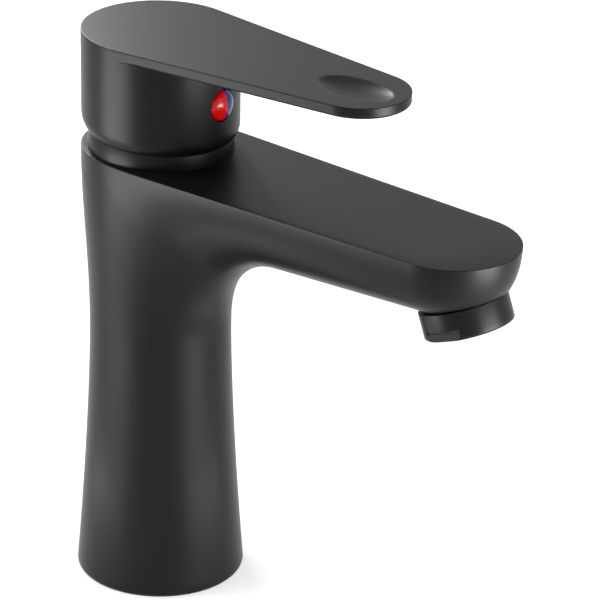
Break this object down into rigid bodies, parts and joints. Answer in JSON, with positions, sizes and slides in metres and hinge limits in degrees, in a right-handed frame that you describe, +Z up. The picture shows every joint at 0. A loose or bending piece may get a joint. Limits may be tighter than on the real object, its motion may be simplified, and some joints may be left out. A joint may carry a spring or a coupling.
{
  "type": "bathroom mixer faucet",
  "caption": "Single-lever basin mixer in satin black with a waisted column, a straight flat-topped spout, a leaning outlet ring and a flat teardrop lever with a finger dimple.",
  "frame": {"origin": "column axis where the foot meets the deck", "axes": "+Z up along the column, +X along the spout, hot side on -Y"},
  "size_m": [0.1496, 0.0506, 0.1739],
  "materials": {
    "black_paint": "satin paint",
    "brass": "machined",
    "steel": "brushed",
    "rubber": "matte",
    "white_plastic": "moulded",
    "ceramic": "lapped",
    "dark_plastic": "moulded",
    "red_plastic": "glossy",
    "blue_plastic": "glossy"
  },
  "bodies": {
    "mixer_body": {"body_casting": "black_paint", "base_gasket": "rubber", "inlet_block": "brass", "block_seal": "rubber", "cartridge_base": "white_plastic", "disc_seal": "rubber", "fixed_disc": "ceramic", "cartridge_housing": "white_plastic", "housing_seal": "rubber", "retaining_nut": "brass", "collar": "black_paint", "aerator_ring": "black_paint", "aerator_washer": "rubber", "aerator_insert": "white_plastic", "aerator_screen": "steel", "hot_port_seal": "rubber", "cold_port_seal": "rubber"},
    "turret_group": {"turret": "white_plastic", "pivot_pin": "steel"},
    "lever_group": {"lever_stem": "brass", "handle": "black_paint", "set_screw": "steel", "index_plug": "dark_plastic", "index_red": "red_plastic", "index_blue": "blue_plastic"},
    "slider_group": {"disc_carrier": "white_plastic", "moving_disc": "ceramic"}
  },
  "joints": [
    {"name": "handle_turn", "type": "hinge", "parent": "mixer_body", "child": "turret_group", "pos_m": [0, 0, 0.1374], "axis": [0, 0, 1], "range_deg": [-45, 45]},
    {"name": "handle_lift", "type": "hinge", "parent": "turret_group", "child": "lever_group", "pos_m": [0, 0, 0.1374], "axis": [0, -1, 0], "range_deg": [0, 14]},
    {"name": "disc_slide", "type": "slide", "parent": "turret_group", "child": "slider_group", "axis": [1, 0, 0], "range_m": [0, 0.0027]}
  ],
  "couplings": [
    {"joint": "disc_slide", "follows": "handle_lift", "m_per_rad": 0.011}
  ]
}
